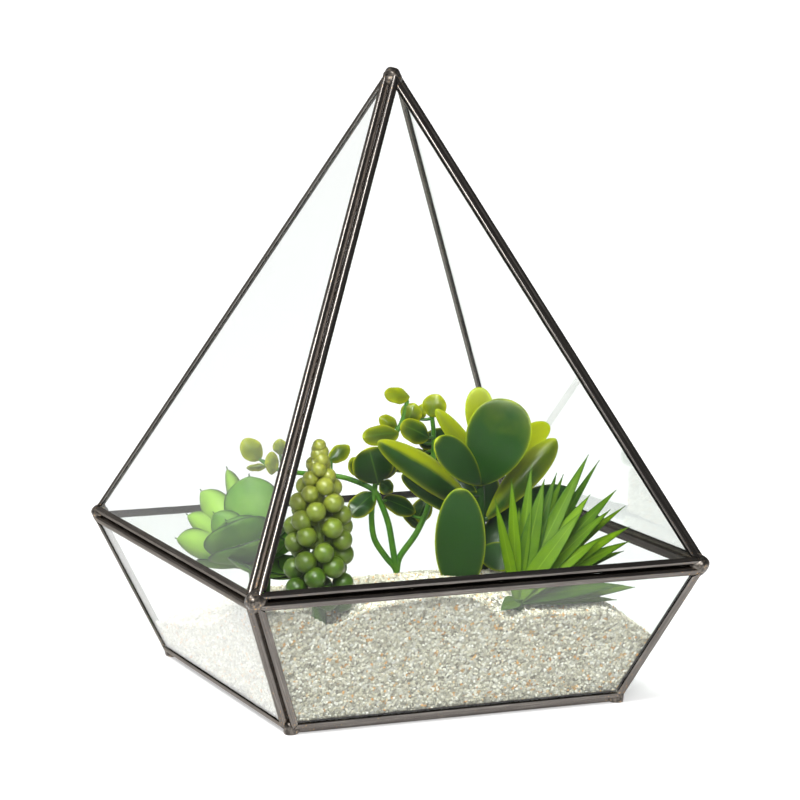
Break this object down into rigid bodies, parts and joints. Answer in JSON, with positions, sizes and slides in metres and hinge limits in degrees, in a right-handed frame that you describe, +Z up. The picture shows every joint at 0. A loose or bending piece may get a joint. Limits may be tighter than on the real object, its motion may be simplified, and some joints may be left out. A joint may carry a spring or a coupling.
{
  "type": "glass terrarium",
  "caption": "Leaded glass terrarium shaped as a faceted diamond, open at the back, holding a bed of pale sand planted with small faux succulents.",
  "frame": {"origin": "on the surface the terrarium stands on, under its apex", "axes": "+Z up; +Y towards the open side; -Y towards the side that faces the viewer most"},
  "size_m": [0.2058, 0.2058, 0.2633],
  "materials": {
    "came": "dark patina, semi-gloss",
    "solder": "dark patina with worn flecks",
    "glass": "clear",
    "sand": "coarse quartz grains",
    "rosette_leaf": "satin",
    "berry_skin": "waxy",
    "round_leaf": "satin",
    "fleshy_leaf": "waxy",
    "aloe_leaf": "satin"
  },
  "bodies": {
    "root": {"came_base_back": "came", "came_base_front": "came", "came_base_left": "came", "came_base_right": "came", "came_lower_back_belt": "came", "came_lower_back_foot": "came", "came_lower_back_left": "came", "came_lower_back_right": "came", "came_lower_front_belt": "came", "came_lower_front_foot": "came", "came_lower_front_left": "came", "came_lower_front_right": "came", "came_lower_left_back": "came", "came_lower_left_belt": "came", "came_lower_left_foot": "came", "came_lower_left_front": "came", "came_lower_right_back": "came", "came_lower_right_belt": "came", "came_lower_right_foot": "came", "came_lower_right_front": "came", "came_upper_front_belt": "came", "came_upper_front_left": "came", "came_upper_front_right": "came", "came_upper_left_back": "came", "came_upper_left_belt": "came", "came_upper_left_front": "came", "came_upper_right_back": "came", "came_upper_right_belt": "came", "came_upper_right_front": "came", "glass_base": "glass", "glass_lower_back": "glass", "glass_lower_front": "glass", "glass_lower_left": "glass", "glass_lower_right": "glass", "glass_upper_front": "glass", "glass_upper_left": "glass", "glass_upper_right": "glass", "plant_aloe_tuft": "aloe_leaf", "plant_berry_spike": "berry_skin", "plant_fleshy_leaved": "fleshy_leaf", "plant_rosette": "rosette_leaf", "plant_round_leaved": "round_leaf", "sand_bed": "sand", "solder_apex": "solder", "solder_belt_bl": "solder", "solder_belt_br": "solder", "solder_belt_fl": "solder", "solder_belt_fr": "solder", "solder_foot_bl": "solder", "solder_foot_br": "solder", "solder_foot_fl": "solder", "solder_foot_fr": "solder"}
  },
  "joints": []
}
